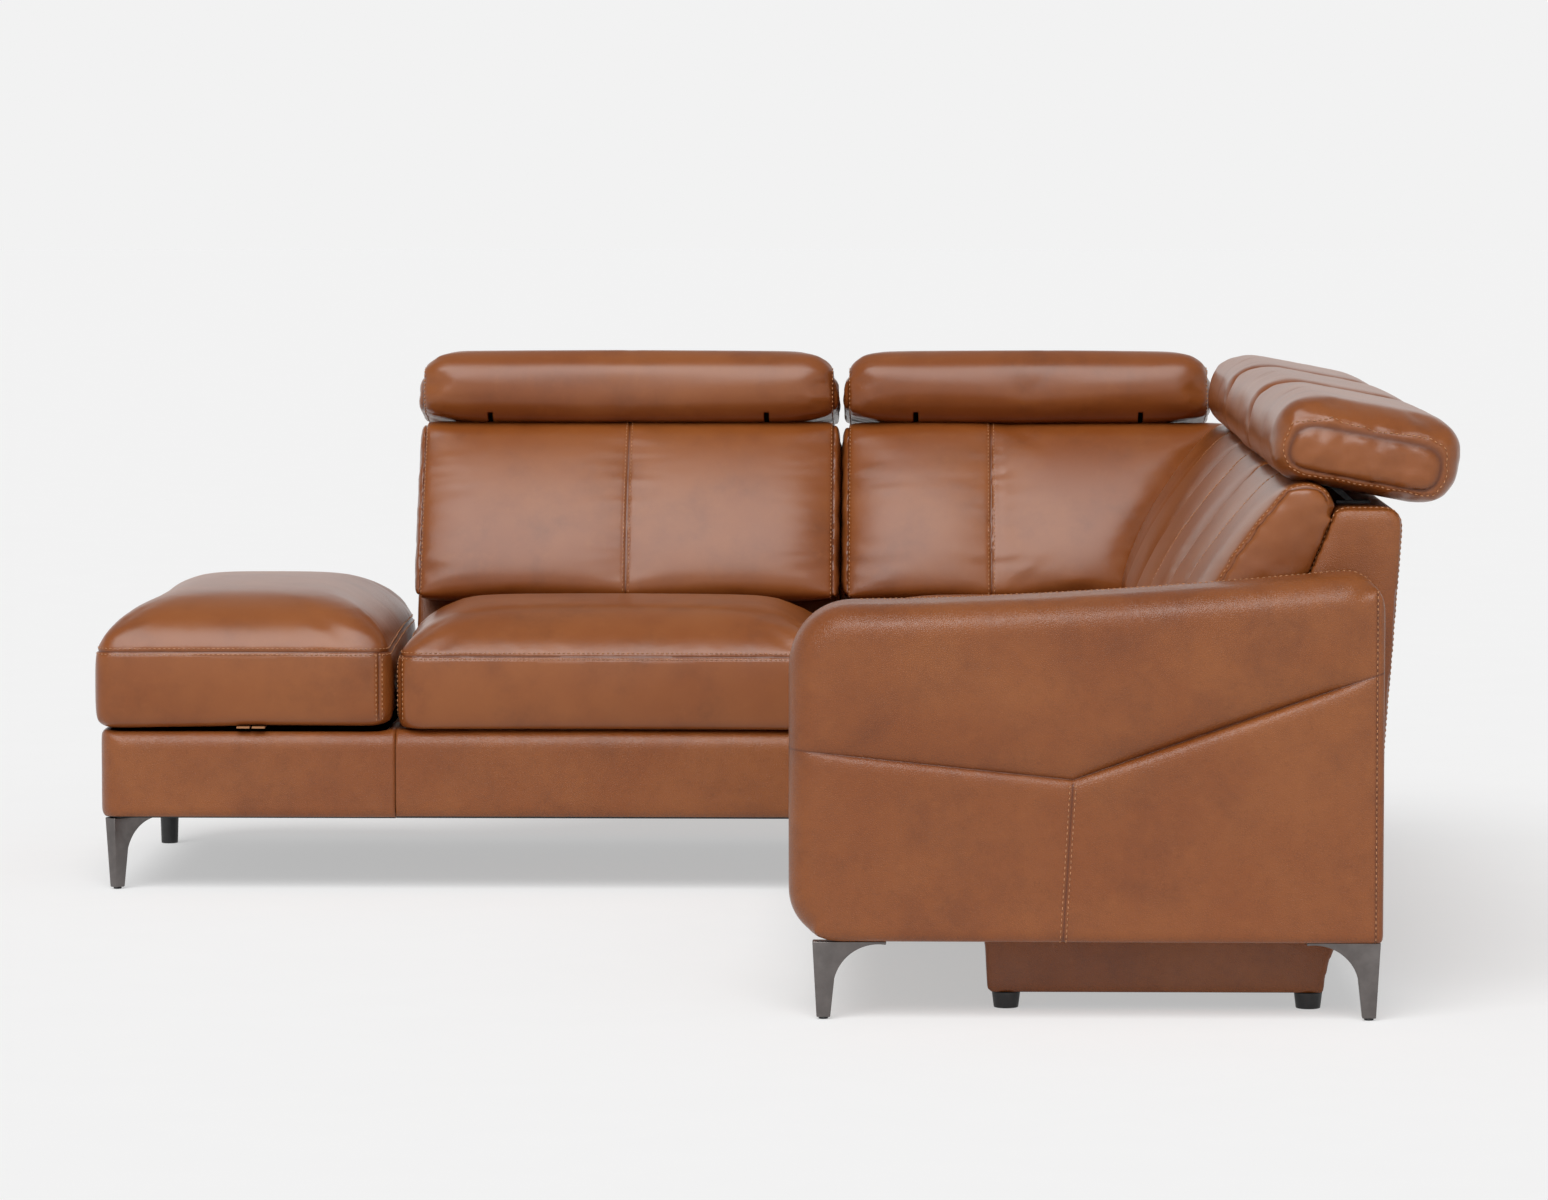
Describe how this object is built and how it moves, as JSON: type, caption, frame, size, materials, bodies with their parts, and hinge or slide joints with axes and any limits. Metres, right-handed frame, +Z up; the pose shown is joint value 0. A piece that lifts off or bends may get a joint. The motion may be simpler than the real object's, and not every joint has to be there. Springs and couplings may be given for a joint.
{
  "type": "reclining sectional sofa",
  "caption": "L-shaped leather sectional sofa with a powered reclining seat at the arm, folding headrests, a mitred corner and a backless end seat with a storage lid.",
  "frame": {"origin": "middle of the footprint's bounding box, on the floor", "axes": "+Z up, +Y along the main leg away from its arm, +X towards the main leg's back"},
  "size_m": [2.2064, 2.5734, 0.9012],
  "materials": {
    "leather": "semi-aniline cognac leather, fine pebble grain, soft sheen",
    "tan_leather": "plain tan leather, raw edges",
    "timber": "plain plywood",
    "gunmetal": "black nickel, satin",
    "black_plastic": "matt black",
    "button": "satin dark grey",
    "black_steel": "black powder coat",
    "zinc": "zinc plated",
    "black_cloth": "board covered in black lining cloth",
    "webbing": "woven elastic webbing"
  },
  "bodies": {
    "sofa": {"arm_upper_pad": "leather", "arm_lower_cover": "leather", "mechanism_skirts": "leather", "recliner_rear_panel": "leather", "storage_box": "leather", "middle_base": "leather", "middle_seat_cushion": "leather", "corner_base": "leather", "corner_seat_cushion": "leather", "return_base": "leather", "return_seat_cushion": "leather", "middle_back_frame": "leather", "middle_back_cushion": "leather", "corner_side_back_frame": "leather", "corner_side_back_cushion": "leather", "corner_rear_back_frame": "leather", "corner_rear_back_cushion": "leather", "return_back_frame": "leather", "return_back_cushion": "leather", "arm_board": "timber", "front_arm_leg": "gunmetal", "rear_arm_leg": "gunmetal", "ottoman_leg": "gunmetal", "support_legs": "black_plastic", "leg_glides": "black_plastic", "recliner_feet": "black_plastic", "power_inlet": "black_plastic", "switch_plate": "black_plastic", "base_rails": "black_steel", "base_cross_tubes": "black_steel", "headrest_braces": "black_steel", "sectional_connectors": "black_steel", "drive_motor": "black_steel", "drive_track": "zinc", "lid_hinges": "zinc", "seat_webbing": "webbing"},
    "carriage": {"side_plates": "black_steel", "pivot_pins": "zinc", "recliner_seat_deck": "timber", "recliner_seat_cushion": "leather", "drive_nut": "black_steel"},
    "recliner_back": {"recliner_back_frame": "leather", "recliner_back_cushion": "leather", "recliner_headrest_braces": "black_steel"},
    "footrest_lower": {"lower_links": "black_steel", "link_pins": "zinc"},
    "footrest_upper": {"upper_links": "black_steel"},
    "footrest": {"footrest_brackets": "black_steel", "footrest_board": "timber", "footrest_pad": "leather"},
    "lid": {"lid_board": "black_cloth", "lid_cushion": "leather", "pull_tabs": "tan_leather"},
    "recline_button": {"recline_button": "button"},
    "return_button": {"return_button": "button"},
    "recliner_headrest": {"recliner_headrest": "leather"},
    "middle_headrest": {"middle_headrest": "leather"},
    "corner_side_headrest": {"corner_side_headrest": "leather"},
    "corner_rear_headrest": {"corner_rear_headrest": "leather"},
    "return_headrest": {"return_headrest": "leather"}
  },
  "joints": [
    {"name": "recliner_slide", "type": "slide", "parent": "sofa", "child": "carriage", "axis": [-1, 0, 0], "range_m": [0, 0.1]},
    {"name": "back_recline", "type": "hinge", "parent": "carriage", "child": "recliner_back", "pos_m": [0.82978, -0.77422, 0.306], "axis": [0, 1, 0], "range_deg": [0, 32.01]},
    {"name": "footrest_lower_link", "type": "hinge", "parent": "carriage", "child": "footrest_lower", "pos_m": [0.24478, -0.77422, 0.24], "axis": [0, 1, 0], "range_deg": [0, 158.01]},
    {"name": "footrest_upper_link", "type": "hinge", "parent": "footrest_lower", "child": "footrest_upper", "pos_m": [0.41439, -0.77422, 0.13402], "axis": [0, 1, 0], "range_deg": [-168.01, 0]},
    {"name": "footrest_tilt", "type": "hinge", "parent": "footrest_upper", "child": "footrest", "pos_m": [0.24119, -0.77422, 0.23402], "axis": [0, 1, 0], "range_deg": [0, 100.01]},
    {"name": "recliner_headrest_tilt", "type": "hinge", "parent": "recliner_back", "child": "recliner_headrest", "pos_m": [0.85978, -0.77422, 0.815], "axis": [0, -1, 0], "range_deg": [0, 70]},
    {"name": "middle_headrest_tilt", "type": "hinge", "parent": "sofa", "child": "middle_headrest", "pos_m": [0.85978, -0.04922, 0.815], "axis": [0, -1, 0], "range_deg": [0, 70]},
    {"name": "corner_side_headrest_tilt", "type": "hinge", "parent": "sofa", "child": "corner_side_headrest", "pos_m": [0.85978, 0.63078, 0.815], "axis": [0, -1, 0], "range_deg": [0, 70]},
    {"name": "corner_rear_headrest_tilt", "type": "hinge", "parent": "sofa", "child": "corner_rear_headrest", "pos_m": [0.43528, 1.04328, 0.815], "axis": [1, 0, 0], "range_deg": [0, 70]},
    {"name": "return_headrest_tilt", "type": "hinge", "parent": "sofa", "child": "return_headrest", "pos_m": [-0.20972, 1.04328, 0.815], "axis": [1, 0, 0], "range_deg": [0, 70]},
    {"name": "lid_hinge", "type": "hinge", "parent": "sofa", "child": "lid", "pos_m": [-0.84422, 1.17228, 0.2885], "axis": [-1, 0, 0], "range_deg": [0, 45]},
    {"name": "recline_button_press", "type": "slide", "parent": "sofa", "child": "recline_button", "axis": [0, -1, 0], "range_m": [0, 0.002], "stiffness_N_per_m": 400},
    {"name": "return_button_press", "type": "slide", "parent": "sofa", "child": "return_button", "axis": [0, -1, 0], "range_m": [0, 0.002], "stiffness_N_per_m": 400}
  ],
  "couplings": [
    {"joint": "back_recline", "follows": "recliner_slide", "rad_per_m": 5.5851},
    {"joint": "footrest_lower_link", "follows": "recliner_slide", "rad_per_m": 27.576},
    {"joint": "footrest_upper_link", "follows": "recliner_slide", "rad_per_m": -29.322},
    {"joint": "footrest_tilt", "follows": "recliner_slide", "rad_per_m": 17.453}
  ]
}
